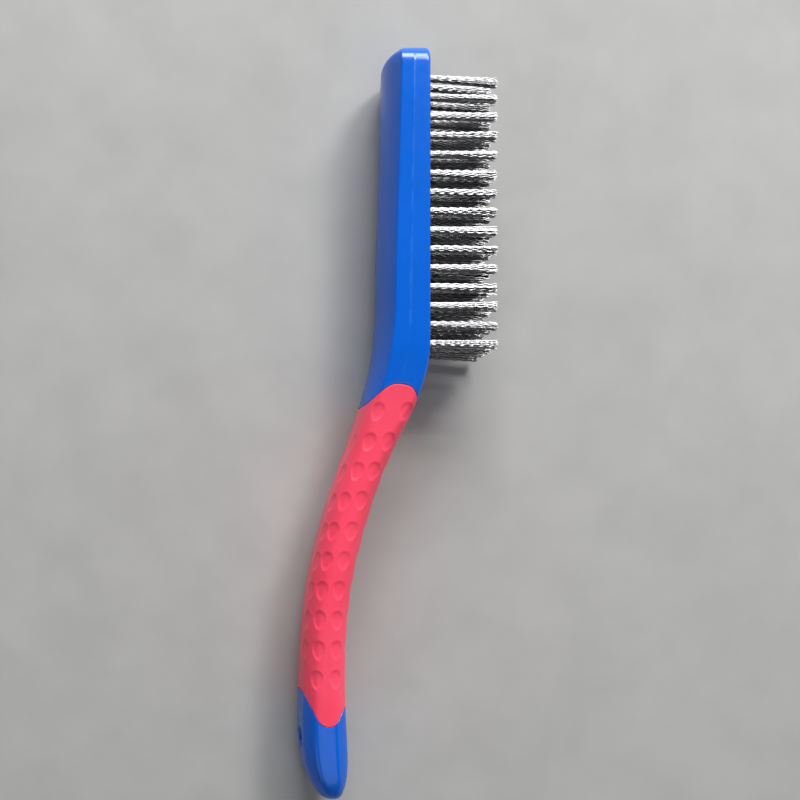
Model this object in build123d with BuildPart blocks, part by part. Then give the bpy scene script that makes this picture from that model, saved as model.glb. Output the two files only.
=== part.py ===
from build123d import *
from collections import namedtuple
import math
import os

# ---------------------------------------------------------------------------
# Curved-handle wire brush: a moulded plastic block with an S-bent handle, a
# soft grip moulded round the handle, and rows of steel wire tufts, each held
# at the bottom of its hole by a flat wire anchor.
#
# Millimetres. +Y runs along the handle towards the head, +X is the way the
# bristles point, +Z is up: the brush lies on the flat side of its head.
# The origin is the centre of the hanging hole. "Front" is the bristle side
# (+X), "back" is the opposite side (-X).
# ---------------------------------------------------------------------------

# bristle field
rows = 15                  # tuft rows along the head
across = 4                 # tufts in each row
pitch_along = 7.05
pitch_across = 7.0
first_row_y = 148.8        # the row nearest the handle
trim = 25.2                # free wire length
wire_d = 0.35
tuft_d = 2.6               # tuft hole and packed root
tuft_depth = 9.0
hole_overrun = 5.0         # how far the tuft hole cutters pass the bristle face
wire_rings = ((3, 0.27), (9, 0.68), (14, 1.07))   # wires in each ring, ring radius

# flat wire anchors
anchor_thick = 0.4         # along Y
anchor_tall = 1.6          # along X
anchor_wide = 4.2          # along Z, wider than the hole so that it bites into the block
anchor_lift = 0.7          # the wires fold under the anchor in this gap

# head
face_x = 37.7              # bristle face
head_half_w = 14.75
loft_half_w = head_half_w + 0.02   # shaved back to head_half_w, which leaves true planes as sides
shave_size = 700.0         # length and height of the shaving box, larger than the brush
head_back_corner_x = 4.3
head_front_corner = 1.2
head_back_flat_half_w = 0.45       # flat strip along the middle of the crowned back
head_end_y = 260.0
head_back_slope = 0.0265   # the back moves towards +X by this much per mm of Y
plan_corner_r = 8.0        # corners of the head end, seen from the back
end_back_r = 4.0           # rounding from the back into the end wall
end_front_r = 1.2          # rounding from the bristle face into the end wall
end_angles = [0, 20, 38, 53, 66, 77, 86]   # degrees round the plan corners

# A section square to Y: a rounded rectangle whose corners are quarter ellipses,
# given by their radii along X and Z at the back and at the front.
Section = namedtuple(
    "Section",
    "y back_x front_x half_w back_corner_x back_corner_z front_corner_x front_corner_z",
)

# handle, neck and start of the head, in the columns of Section
stations = [Section(*values) for values in (
    (-22.8, 1.60, 5.40, 3.6, 1.5, 2.6, 1.5, 2.6),
    (-22.4, 0.40, 6.10, 5.6, 2.2, 4.0, 2.2, 4.0),
    (-21.4, -1.05, 6.80, 7.7, 3.2, 5.6, 3.2, 5.6),
    (-19.0, -3.10, 7.70, 9.9, 4.7, 7.2, 4.7, 7.2),
    (-15.0, -5.30, 8.40, 11.35, 6.0, 8.0, 6.0, 8.0),
    (-9.0, -7.30, 8.75, 12.1, 7.0, 8.5, 7.0, 8.5),
    (0.0, -8.40, 8.50, 12.3, 7.3, 8.6, 7.3, 8.6),
    (10.0, -8.60, 8.00, 12.3, 7.2, 8.6, 7.2, 8.6),
    (22.0, -8.40, 7.75, 12.3, 7.1, 8.6, 7.1, 8.6),
    (36.0, -7.85, 8.10, 12.3, 7.1, 8.6, 7.1, 8.6),
    (50.0, -6.65, 9.20, 12.3, 7.1, 8.6, 7.1, 8.6),
    (64.0, -4.45, 11.40, 12.3, 7.1, 8.6, 7.1, 8.6),
    (78.0, -1.15, 14.80, 12.3, 7.1, 8.6, 7.1, 8.6),
    (92.0, 2.90, 19.05, 12.35, 7.2, 8.6, 7.2, 8.6),
    (104.0, 7.20, 23.50, 12.5, 6.9, 8.2, 6.7, 8.2),
    (112.0, 10.20, 26.90, 12.65, 6.2, 7.5, 5.8, 7.3),
    (119.0, 12.65, 30.15, 12.9, 5.2, 8.0, 4.6, 6.0),
    (126.0, 14.85, 33.15, 13.3, 4.7, 10.0, 3.3, 4.3),
    (134.0, 17.20, 35.70, 13.9, 4.4, 12.0, 2.1, 2.5),
    (141.0, 18.90, 37.15, 14.4, 4.3, 13.3, 1.5, 1.6),
    (147.0, 19.95, face_x, 14.68, 4.3, 13.95, 1.25, 1.25),
    (153.0, 20.65, face_x, loft_half_w, head_back_corner_x, 14.3, 1.2, 1.2),
    (160.0, 21.10, face_x, loft_half_w, head_back_corner_x, 14.3, 1.2, 1.2),
)]

# hanging hole, along X, with a conical mouth at each end
hole_r = 3.5
mouth_r = 4.7              # where the mouth meets the skin
mouth_depth = 1.3
mouth_cut_x = 16.0         # the cutter's ends, outside the handle on both sides
hole_section = next(s for s in stations if s.y == 0.0)

# soft grip
grip_thick = 2.0           # over its core
core_y = (-9.5, 155.0)     # stations between these shape the core
inset_corner_share = 0.8   # share of an inset taken off the corner radii
min_corner_r = 0.8
grip_cut_x = (-30.0, 50.0)         # ends of the grip outline, clear of the handle
grip_cut_half_h = 30.0

# Ends of the soft grip, (x, y) seen square to the side: a tongue on each side face.
grip_head_end = [
    (13.0, 125.2), (15.7, 127.0), (18.4, 129.4), (20.6, 131.2), (23.1, 132.7),
    (25.9, 133.2), (29.2, 132.7), (31.8, 131.0), (33.3, 128.2), (35.0, 124.5),
]
grip_hole_end = [
    (-10.0, 21.5), (-8.6, 18.8), (-6.9, 14.8), (-5.4, 11.9), (-4.1, 9.2), (-2.4, 6.9),
    (0.2, 5.8), (2.7, 6.4), (4.5, 8.4), (6.1, 10.8), (7.6, 12.9), (9.6, 14.9),
]

# Pressed ovals of the grip, in rows from the head down. Each entry is one row:
# x of the two columns of a side face.
oval_first_y = 123.0
oval_pitch = 11.06
oval_side_x = [
    (18.3, 29.0), (15.3, 22.6), (10.9, 17.0), (6.0, 12.4), (2.0, 8.7),
    (-0.4, 6.1), (-2.1, 4.3), (-3.2, 3.6), (-3.6, 3.3), (-4.2, 3.0),
]
oval_edge_z = 6.5          # columns of the back and front faces
oval_depth = 0.5
oval_ball_r = 12.5         # a ball pressed this deep leaves an oval about 7 by 4.4
oval_cap_top = 0.125       # the cutter's flat top, above the skin
oval_trim_w, oval_trim_h = 20.0, 4.0   # box that trims the ball to its cap

# positions worked out from the sizes above
tuft_z = [(j - (across - 1) / 2) * pitch_across for j in range(across)]
row_y = [first_row_y + i * pitch_along for i in range(rows)]
tuft_root_x = face_x - tuft_depth
anchor_x = tuft_root_x + anchor_lift + anchor_tall / 2


# --- sections and the skin they describe -----------------------------------

def section_face(section, inset=0.0):
    """The face of a section, drawn in inwards by inset."""
    y, back, front, half_w, *corners = section
    back, front, half_w = back + inset, front - inset, half_w - inset
    back_rx, back_rz, front_rx, front_rz = [
        max(r - inset_corner_share * inset, min_corner_r) for r in corners
    ]
    with BuildSketch(Plane.XZ.offset(-y)) as sketch:
        with BuildLine():
            Line((back + back_rx, -half_w), (front - front_rx, -half_w))
            EllipticalCenterArc((front - front_rx, -half_w + front_rz), front_rx, front_rz, 270)
            Line((front, -half_w + front_rz), (front, half_w - front_rz))
            EllipticalCenterArc((front - front_rx, half_w - front_rz), front_rx, front_rz, 0)
            Line((front - front_rx, half_w), (back + back_rx, half_w))
            EllipticalCenterArc((back + back_rx, half_w - back_rz), back_rx, back_rz, 90)
            Line((back, half_w - back_rz), (back, -half_w + back_rz))
            EllipticalCenterArc((back + back_rx, -half_w + back_rz), back_rx, back_rz, 180)
        make_face()
    return sketch.sketch


def section_at(y):
    """Section at y, by a cubic between stations; y needs a station on beyond its neighbours."""
    i = max(k for k, s in enumerate(stations) if s.y <= y)
    before, start, end, after = stations[i - 1:i + 3]
    span = end.y - start.y
    t = (y - start.y) / span
    values = []
    for a, b, c, d in list(zip(before, start, end, after))[1:]:
        start_rise = (c - a) / (end.y - before.y) * span
        end_rise = (d - b) / (after.y - start.y) * span
        values.append(
            (2 * t**3 - 3 * t**2 + 1) * b + (t**3 - 2 * t**2 + t) * start_rise
            + (3 * t**2 - 2 * t**3) * c + (t**3 - t**2) * end_rise
        )
    return Section(y, *values)


def upper_corner(section, front):
    """Upper corner ellipse: direction of its side along X, centre x, z and radii along X, Z."""
    if front:
        rx, rz = section.front_corner_x, section.front_corner_z
        return 1, section.front_x - rx, section.half_w - rz, rx, rz
    rx, rz = section.back_corner_x, section.back_corner_z
    return -1, section.back_x + rx, section.half_w - rz, rx, rz


def skin_plane(y, x, z, normal_x, normal_z, front):
    """Plane at a point of the skin, its normal leaned by the slope of the front or back."""
    low, high = section_at(y - 0.5), section_at(y + 0.5)   # 1 mm apart
    slope = high.front_x - low.front_x if front else high.back_x - low.back_x
    return Plane(origin=(x, y, z), z_dir=(normal_x, -normal_x * slope, normal_z))


def side_plane(y, x):
    """Plane touching the upper side face at x."""
    section = section_at(y)
    front = x > (section.back_x + section.front_x) / 2
    sign, centre_x, centre_z, rx, rz = upper_corner(section, front)
    out = max(sign * (x - centre_x), 0.0) / rx
    up = math.sqrt(1 - out * out)
    return skin_plane(y, x, centre_z + rz * up, sign * out / rx, up / rz, front)


def edge_plane(y, z, front):
    """Plane touching the front or back at z."""
    sign, centre_x, centre_z, rx, rz = upper_corner(section_at(y), front)
    up = max(z - centre_z, 0.0) / rz
    out = math.sqrt(1 - up * up)
    return skin_plane(y, centre_x + sign * rx * out, z, sign * out / rx, up / rz, front)


def mirrored(plane):
    """The plane on the other side of Z = 0."""
    at, normal = plane.origin, plane.z_dir
    return Plane(origin=(at.X, at.Y, -at.Z), z_dir=(normal.X, normal.Y, -normal.Z))


def round_off(y, r):
    """How far a wall has moved inwards at y on its way round the radius r into the end wall."""
    t = max(y - (head_end_y - r), 0.0)
    return r - math.sqrt(max(r * r - t * t, 0.0))


def end_section(angle):
    """Section of the rounded head end, at an angle in degrees round its plan corners."""
    a = math.radians(angle)
    y = head_end_y - plan_corner_r * (1 - math.sin(a))
    half_w = loft_half_w - plan_corner_r * (1 - math.cos(a))
    last = stations[-1]
    back = last.back_x + head_back_slope * (y - last.y) + round_off(y, end_back_r)
    front = face_x - round_off(y, end_front_r)
    return Section(
        y, back, front, half_w,
        head_back_corner_x, half_w - head_back_flat_half_w,
        head_front_corner, head_front_corner,
    )


# --- block and grip --------------------------------------------------------

def make_envelope():
    """Block and handle as one solid: straight head, its rounded end, then neck and handle."""
    end_sections = [end_section(a) for a in end_angles]
    with BuildPart() as envelope:
        loft(sections=[section_face(stations[-1]), section_face(end_sections[0])])
        loft(sections=[section_face(s) for s in end_sections])
        loft(sections=[section_face(s) for s in stations])
        Box(shave_size, shave_size, 2 * head_half_w, mode=Mode.INTERSECT)
    return envelope.part


def make_grip_core():
    """What the soft grip is moulded round."""
    with BuildPart() as core:
        loft(sections=[
            section_face(s, inset=grip_thick) for s in stations if core_y[0] < s.y < core_y[1]
        ])
    return core.part


def make_grip_skin(envelope):
    """The skin of the handle between the two tongued ends."""
    core = make_grip_core()
    cut_back, cut_front = grip_cut_x
    head_end, hole_end = grip_head_end, grip_hole_end
    with BuildPart() as skin:
        add(envelope)
        with BuildSketch(Plane.XY):
            with BuildLine():
                Spline(*head_end)
                Polyline(
                    head_end[-1], (cut_front, head_end[-1][1]),
                    (cut_front, hole_end[-1][1]), hole_end[-1],
                )
                Spline(*hole_end)
                Polyline(
                    hole_end[0], (cut_back, hole_end[0][1]),
                    (cut_back, head_end[0][1]), head_end[0],
                )
            make_face()
        extrude(amount=grip_cut_half_h, both=True, mode=Mode.INTERSECT)
        add(core, mode=Mode.SUBTRACT)
    return skin.part


def make_oval_cutter():
    """Cap of a ball, its deepest point below the skin and its poles across the cap."""
    with BuildPart() as cutter:
        with Locations((0, 0, oval_ball_r - oval_depth)):
            Sphere(oval_ball_r, rotation=(90, 0, 0))
        with Locations((0, 0, oval_cap_top)):
            Box(
                oval_trim_w, oval_trim_w, oval_trim_h,
                align=(Align.CENTER, Align.CENTER, Align.MAX), mode=Mode.INTERSECT,
            )
    return cutter.part


def make_soft_grip(skin):
    """The grip skin with its columns of pressed ovals."""
    cutter = make_oval_cutter()
    oval_y = [oval_first_y - k * oval_pitch for k in range(len(oval_side_x))]
    columns = [
        [side_plane(y, x) for y, x in zip(oval_y, column_x)] for column_x in zip(*oval_side_x)
    ]
    # the back and front columns leave out the first and last rows
    columns += [
        [edge_plane(y, oval_edge_z, front) for y in oval_y[1:-1]] for front in (False, True)
    ]
    with BuildPart() as grip:
        add(skin)
        for column in columns:
            for planes in (column, [mirrored(p) for p in column]):
                with Locations(*[Location(p) for p in planes]):
                    add(cutter, mode=Mode.SUBTRACT)
    return grip.part


def make_handle_body(envelope, skin):
    """Envelope less the grip, the tuft holes, the anchor seats and the hanging hole."""
    mouth_slope = (mouth_r - hole_r) / mouth_depth
    back_x, front_x = hole_section.back_x, hole_section.front_x
    with BuildPart() as body:
        add(envelope)
        add(skin, mode=Mode.SUBTRACT)
        with BuildSketch(Plane.YZ.offset(tuft_root_x)):
            with Locations(*[(y, z) for y in row_y for z in tuft_z]):
                Circle(tuft_d / 2)
        extrude(amount=tuft_depth + hole_overrun, mode=Mode.SUBTRACT)
        with Locations(*[(anchor_x, y, z) for y in row_y for z in tuft_z]):
            Box(anchor_tall, anchor_thick, anchor_wide, mode=Mode.SUBTRACT)
        # half profile of the hanging hole; the mouths widen on past the skin
        with BuildSketch(Plane.XY):
            with BuildLine():
                Polyline(
                    (-mouth_cut_x, 0),
                    (-mouth_cut_x, mouth_r + (mouth_cut_x + back_x) * mouth_slope),
                    (back_x + mouth_depth, hole_r),
                    (front_x - mouth_depth, hole_r),
                    (mouth_cut_x, mouth_r + (mouth_cut_x - front_x) * mouth_slope),
                    (mouth_cut_x, 0),
                    (-mouth_cut_x, 0),
                )
            make_face()
        revolve(axis=Axis.X, mode=Mode.SUBTRACT)
    return body.part


# --- tufts and anchors, one row on Y = 0 -----------------------------------

def make_anchor_row():
    with BuildPart() as row:
        with Locations(*[(anchor_x, 0, z) for z in tuft_z]):
            Box(anchor_tall, anchor_thick, anchor_wide)
    return row.part


def make_tuft_row(anchors):
    """Packed roots in their holes, cut by the anchors, and straight wires."""
    wire_points = []
    for n, (count, ring_r) in enumerate(wire_rings):
        for k in range(count):
            angle = 2 * math.pi * (k + 0.5 * n) / count
            wire_points.append((ring_r * math.cos(angle), ring_r * math.sin(angle)))
    with BuildPart() as row:
        with BuildSketch(Plane.YZ.offset(tuft_root_x)):
            with Locations(*[(0, z) for z in tuft_z]):
                Circle(tuft_d / 2)
        extrude(amount=tuft_depth)
        add(anchors, mode=Mode.SUBTRACT)
        with BuildSketch(Plane.YZ.offset(face_x)):
            with Locations(*[(y, z + wire_z) for z in tuft_z for y, wire_z in wire_points]):
                Circle(wire_d / 2)
        extrude(amount=trim)
    return row.part


def placed_at(part, y):
    with BuildPart() as placed:
        with Locations((0, y, 0)):
            add(part)
    return placed.part


def save(part, name):
    part.label = name
    export_step(part, f"parts/{name}.step")


os.makedirs("parts", exist_ok=True)

envelope_part = make_envelope()
grip_skin = make_grip_skin(envelope_part)
save(make_handle_body(envelope_part, grip_skin), "handle_body")
save(make_soft_grip(grip_skin), "soft_grip")

anchor_row = make_anchor_row()
tuft_row = make_tuft_row(anchor_row)
for number, y in enumerate(row_y, start=1):
    save(placed_at(tuft_row, y), f"tuft_row_{number:02d}")
    save(placed_at(anchor_row, y), f"anchor_row_{number:02d}")
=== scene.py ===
import math

import bpy
import numpy as np
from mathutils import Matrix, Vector


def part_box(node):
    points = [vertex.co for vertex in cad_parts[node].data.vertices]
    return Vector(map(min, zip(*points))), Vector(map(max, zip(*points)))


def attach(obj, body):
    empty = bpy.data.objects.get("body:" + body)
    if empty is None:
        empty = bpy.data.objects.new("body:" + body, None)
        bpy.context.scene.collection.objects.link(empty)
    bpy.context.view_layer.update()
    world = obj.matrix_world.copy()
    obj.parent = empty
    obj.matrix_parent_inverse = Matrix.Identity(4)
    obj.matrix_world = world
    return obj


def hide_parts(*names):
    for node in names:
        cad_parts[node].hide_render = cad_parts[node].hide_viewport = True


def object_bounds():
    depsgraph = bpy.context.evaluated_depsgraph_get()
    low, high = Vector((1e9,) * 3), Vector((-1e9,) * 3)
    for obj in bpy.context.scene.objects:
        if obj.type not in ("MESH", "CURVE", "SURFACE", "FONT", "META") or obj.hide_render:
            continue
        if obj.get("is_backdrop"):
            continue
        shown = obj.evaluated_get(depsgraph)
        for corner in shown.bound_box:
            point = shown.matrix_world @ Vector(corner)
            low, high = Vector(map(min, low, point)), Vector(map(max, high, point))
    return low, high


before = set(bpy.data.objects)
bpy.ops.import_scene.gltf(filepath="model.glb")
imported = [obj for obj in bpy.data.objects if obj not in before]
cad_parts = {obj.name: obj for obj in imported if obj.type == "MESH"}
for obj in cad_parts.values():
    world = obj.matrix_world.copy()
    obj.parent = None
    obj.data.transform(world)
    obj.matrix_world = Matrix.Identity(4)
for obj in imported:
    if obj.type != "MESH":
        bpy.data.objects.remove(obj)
CAD_LO, CAD_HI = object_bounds()
RNG = np.random.default_rng(626)
MM = 0.001

# ---------------------------------------------------------------------------
# Shape tables, in millimetres and in the frame of the part
# ---------------------------------------------------------------------------
FACE_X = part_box("handle_body")[1].x / MM            # bristle face
HEAD_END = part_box("handle_body")[1].y / MM
HALF_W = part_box("handle_body")[1].z / MM
TAIL_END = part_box("handle_body")[0].y / MM - 0.12
PLAN_R = 8.0                                        # corners of the head end, seen from the back
END_BACK_R, END_FACE_R = 4.0, 1.2                   # from the back and from the bristle face into the end wall
GRIP_T = 2.0

# y, back x, front x, half width, back corner x, back corner z, front corner x, front corner z
STATIONS = np.array([
    (-22.8, 1.60, 5.40, 3.6, 1.5, 2.6, 1.5, 2.6),
    (-22.4, 0.40, 6.10, 5.6, 2.2, 4.0, 2.2, 4.0),
    (-21.4, -1.05, 6.80, 7.7, 3.2, 5.6, 3.2, 5.6),
    (-19.0, -3.10, 7.70, 9.9, 4.7, 7.2, 4.7, 7.2),
    (-15.0, -5.30, 8.40, 11.35, 6.0, 8.0, 6.0, 8.0),
    (-9.0, -7.30, 8.75, 12.1, 7.0, 8.5, 7.0, 8.5),
    (0.0, -8.40, 8.50, 12.3, 7.3, 8.6, 7.3, 8.6),
    (10.0, -8.60, 8.00, 12.3, 7.2, 8.6, 7.2, 8.6),
    (22.0, -8.40, 7.75, 12.3, 7.1, 8.6, 7.1, 8.6),
    (36.0, -7.85, 8.10, 12.3, 7.1, 8.6, 7.1, 8.6),
    (50.0, -6.65, 9.20, 12.3, 7.1, 8.6, 7.1, 8.6),
    (64.0, -4.45, 11.40, 12.3, 7.1, 8.6, 7.1, 8.6),
    (78.0, -1.15, 14.80, 12.3, 7.1, 8.6, 7.1, 8.6),
    (92.0, 2.90, 19.05, 12.35, 7.2, 8.6, 7.2, 8.6),
    (104.0, 7.20, 23.50, 12.5, 6.9, 8.2, 6.7, 8.2),
    (112.0, 10.20, 26.90, 12.65, 6.2, 7.5, 5.8, 7.3),
    (119.0, 12.65, 30.15, 12.9, 5.2, 8.0, 4.6, 6.0),
    (126.0, 14.85, 33.15, 13.3, 4.7, 10.0, 3.3, 4.3),
    (134.0, 17.20, 35.70, 13.9, 4.4, 12.0, 2.1, 2.5),
    (141.0, 18.90, 37.15, 14.4, 4.3, 13.3, 1.5, 1.6),
    (147.0, 19.95, FACE_X, 14.68, 4.3, 13.95, 1.25, 1.25),
    (153.0, 20.65, FACE_X, HALF_W, 4.3, 14.3, 1.2, 1.2),
    (160.0, 21.10, FACE_X, HALF_W, 4.3, 14.3, 1.2, 1.2),
    (171.0, 21.4, FACE_X, HALF_W, 4.3, 14.3, 1.2, 1.2),
    (200.0, 22.16, FACE_X, HALF_W, 4.3, 14.3, 1.2, 1.2),
    (230.0, 22.96, FACE_X, HALF_W, 4.3, 14.3, 1.2, 1.2),
    (260.0, 23.75, FACE_X, HALF_W, 4.3, 14.3, 1.2, 1.2),
])
GRIP_TOP = np.array([
    (13.0, 125.2), (15.7, 127.0), (18.4, 129.4), (20.6, 131.2), (23.1, 132.7),
    (25.9, 133.2), (29.2, 132.7), (31.8, 131.0), (33.3, 128.2), (35.0, 124.5),
])
GRIP_BOTTOM = np.array([
    (-10.0, 21.5), (-8.6, 18.8), (-6.9, 14.8), (-5.4, 11.9), (-4.1, 9.2), (-2.4, 6.9),
    (0.2, 5.8), (2.7, 6.4), (4.5, 8.4), (6.1, 10.8), (7.6, 12.9), (9.6, 14.9),
])
OVAL_PITCH, OVAL_TOP_Y, OVAL_BACK_Z = 11.06, 123.0, 6.5
OVAL_SIDE_X = [
    (18.3, 29.0), (15.3, 22.6), (10.9, 17.0), (6.0, 12.4), (2.0, 8.7),
    (-0.4, 6.1), (-2.1, 4.3), (-3.2, 3.6), (-3.6, 3.3), (-4.2, 3.0),
]
WIRE_RINGS = ((3, 0.27), (9, 0.68), (14, 1.07))
WIRE_R = 0.175
TRIM = 25.2
PITCH_ACROSS = 7.0
ACROSS = 4
HOLE_R = 1.3
HANG_R, HANG_MOUTH, HANG_BACK_X, HANG_FRONT_X = 3.5, 1.3, -8.4, 8.5


def spline(xs, ys):
    """Natural cubic spline through the points, as a function of an array."""
    xs, ys = np.asarray(xs, float), np.asarray(ys, float)
    n = len(xs)
    h = np.diff(xs)
    a = np.zeros((n, n))
    b = np.zeros(n)
    a[0, 0] = a[-1, -1] = 1.0
    for i in range(1, n - 1):
        a[i, i - 1], a[i, i], a[i, i + 1] = h[i - 1], 2 * (h[i - 1] + h[i]), h[i]
        b[i] = 6 * ((ys[i + 1] - ys[i]) / h[i] - (ys[i] - ys[i - 1]) / h[i - 1])
    m = np.linalg.solve(a, b)

    def value(x):
        x = np.asarray(x, float)
        k = np.clip(np.searchsorted(xs, x) - 1, 0, n - 2)
        d, e = xs[k + 1] - x, x - xs[k]
        hk = h[k]
        return (
            m[k] * d**3 / (6 * hk) + m[k + 1] * e**3 / (6 * hk)
            + (ys[k] / hk - m[k] * hk / 6) * d + (ys[k + 1] / hk - m[k + 1] * hk / 6) * e
        )

    return value


def warp(y):
    """The tail closes like a dome, so its sections are read against this stretched length."""
    return np.sqrt(np.maximum(np.asarray(y, float) - TAIL_END, 0.0))


TIP = np.array([(TAIL_END, 3.55, 3.55, 0.0, 0.0, 0.0, 0.0, 0.0)])
TABLE = np.vstack([TIP, STATIONS])
CURVES = [spline(warp(TABLE[:, 0]), TABLE[:, c]) for c in range(1, 8)]
top_edge = spline(GRIP_TOP[:, 0], GRIP_TOP[:, 1])
bottom_edge = spline(GRIP_BOTTOM[:, 0], GRIP_BOTTOM[:, 1])


def smooth_step(a, b, x):
    t = np.clip((np.asarray(x, float) - a) / (b - a), 0.0, 1.0)
    return t * t * (3 - 2 * t)


def section(y, inset=0.0):
    """back x, front x, half width and corner sizes at y, moved inwards by inset."""
    w = warp(y)
    xb, xf, hw, bx, bz, fx, fz = [c(w) for c in CURVES]
    flat = smooth_step(144.0, 150.0, y)
    xf = np.minimum(xf, FACE_X) * (1 - flat) + FACE_X * flat
    done = smooth_step(150.0, 156.0, y)
    hw = np.minimum(hw, HALF_W) * (1 - done) + HALF_W * done
    bx, bz = bx * (1 - done) + 4.3 * done, bz * (1 - done) + 14.3 * done
    fx, fz = fx * (1 - done) + 1.2 * done, fz * (1 - done) + 1.2 * done
    xb, xf, hw = xb + inset, xf - inset, np.maximum(hw - inset, 0.0)
    bx, bz, fx, fz = [np.maximum(r - 0.8 * inset, 0.0) for r in (bx, bz, fx, fz)]
    return xb, xf, hw, bx, bz, fx, fz


# A corner between a true quarter ellipse and a flat chamfer with soft shoulders
_phi = np.linspace(-30.0, 120.0, 601)
_cx = np.interp(_phi, [-30.0, 22.5, 67.5, 120.0], [0.0, 0.0, 0.586, 0.586 + 52.5 / 22.5 * 0.414])
_cz = np.interp(_phi, [-30.0, 22.5, 67.5, 120.0], [0.586 + 52.5 / 22.5 * 0.414, 0.586, 0.0, 0.0])
_kernel = np.hanning(93)
_kernel /= _kernel.sum()
_pad = len(_kernel) // 2
_cx = np.convolve(np.pad(_cx, _pad, mode="reflect", reflect_type="odd"), _kernel, "valid")
_cz = np.convolve(np.pad(_cz, _pad, mode="reflect", reflect_type="odd"), _kernel, "valid")


def crown(phi, rx, rz):
    """The same offsets for the crowned back: an even bow that meets the side in a crisp edge."""
    s = np.asarray(phi, float) / 90.0
    q = np.clip(s / 0.78, 0.0, 1.0) * 0.975
    t = np.clip((s - 0.78) / 0.22, 0.0, 1.0)
    c = 0.86 * rx
    x = np.where(s < 0.78, c * q * q, (1 - t) ** 2 * 0.9506 * c + 2 * t * (1 - t) * c + t * t * rx)
    z = np.where(s < 0.78, rz * (1 - q), (1 - t) ** 2 * 0.025 * rz)
    return x, z


def corner(phi, rx, rz, facet):
    """Offsets of a corner point from the back (or front) plane and from the side plane.
    phi is 0 on the back or front plane and 90 on the side plane."""
    a = np.radians(phi)
    ex, ez = 1 - np.cos(a), 1 - np.sin(a)
    cx, cz = np.interp(phi, _phi, _cx), np.interp(phi, _phi, _cz)
    return rx * ((1 - facet) * ex + facet * cx), rz * ((1 - facet) * ez + facet * cz)


def facet_at(y):
    """How far the handle's corners are cut flat instead of round."""
    return (0.62 - 0.27 * smooth_step(8.0, 30.0, y)) * smooth_step(-22.0, -12.0, y) * (1 - smooth_step(100.0, 128.0, y))


# ---------------------------------------------------------------------------
# Mesh helpers
# ---------------------------------------------------------------------------
def make_mesh(name, verts_mm, faces):
    me = bpy.data.meshes.new(name)
    me.from_pydata((np.asarray(verts_mm, float) * MM).tolist(), [], faces)
    me.validate()
    me.update()
    ob = bpy.data.objects.new(name, me)
    bpy.context.scene.collection.objects.link(ob)
    return ob


def shade(ob, angle=38.0):
    me = ob.data
    me.polygons.foreach_set("use_smooth", np.ones(len(me.polygons), bool))
    me.set_sharp_from_angle(angle=math.radians(angle))
    me.update()


def ring_faces(first, second, n):
    """Quads between two closed rings of n vertices that start at the given indices."""
    j = np.arange(n)
    k = (j + 1) % n
    return np.stack([first + j, first + k, second + k, second + j], 1).tolist()


# ---------------------------------------------------------------------------
# Moulded body: one closed surface, with the seat of the grip sunk into it
# ---------------------------------------------------------------------------
N_STRIP, N_CORNER, N_BACK = 10, 14, 22
BACK_PHI = 90.0 * (1 - (1 - np.arange(N_BACK + 1) / N_BACK) ** 1.35)   # closer together towards the side
SIDE_T = np.array([0.0, 0.07, 0.14, 0.22, 0.29, 0.345, 0.380, 0.402, 0.416, 0.430, 0.452,
                   0.487, 0.56, 0.65, 0.74, 0.82, 0.90, 0.96, 1.0])
PART_T = 0.416                     # where the two halves of the mould met
N_SIDE = len(SIDE_T) - 1


def body_columns():
    """(kind, value, side) of each column round the section, starting in the back strip's corner at -z."""
    cols = []
    for i in range(N_STRIP):
        cols.append(("back", -1 + 2 * i / N_STRIP, 0))
    for i in range(N_BACK):
        cols.append(("bc", BACK_PHI[i], 1))
    for t in SIDE_T[:-1]:
        cols.append(("side", t, 1))
    for i in range(N_CORNER):
        cols.append(("fc", 90.0 - 90.0 * i / N_CORNER, 1))
    for i in range(N_STRIP):
        cols.append(("front", 1 - 2 * i / N_STRIP, 0))
    for i in range(N_CORNER):
        cols.append(("fc", 90.0 * i / N_CORNER, -1))
    for t in SIDE_T[::-1][:-1]:
        cols.append(("side", t, -1))
    for i in range(N_BACK):
        cols.append(("bc", BACK_PHI[N_BACK - i], -1))
    return cols


COLS = body_columns()
N_COLS = len(COLS)
KIND = np.array([c[0] for c in COLS])
VAL = np.array([c[1] for c in COLS])
SIDE = np.array([c[2] for c in COLS])


def flash(t, width):
    """The fine raised line left at the mould's parting."""
    d = np.abs(t - PART_T) * np.maximum(width, 1e-6)
    return 0.05 * np.exp(-((d / 0.20) ** 2))


def round_off(y, r):
    """How far a wall has moved inwards at y on its way round the radius r into the end wall."""
    t = np.maximum(y - (HEAD_END - r), 0.0)
    return r - np.sqrt(np.maximum(r * r - t * t, 0.0))


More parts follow.
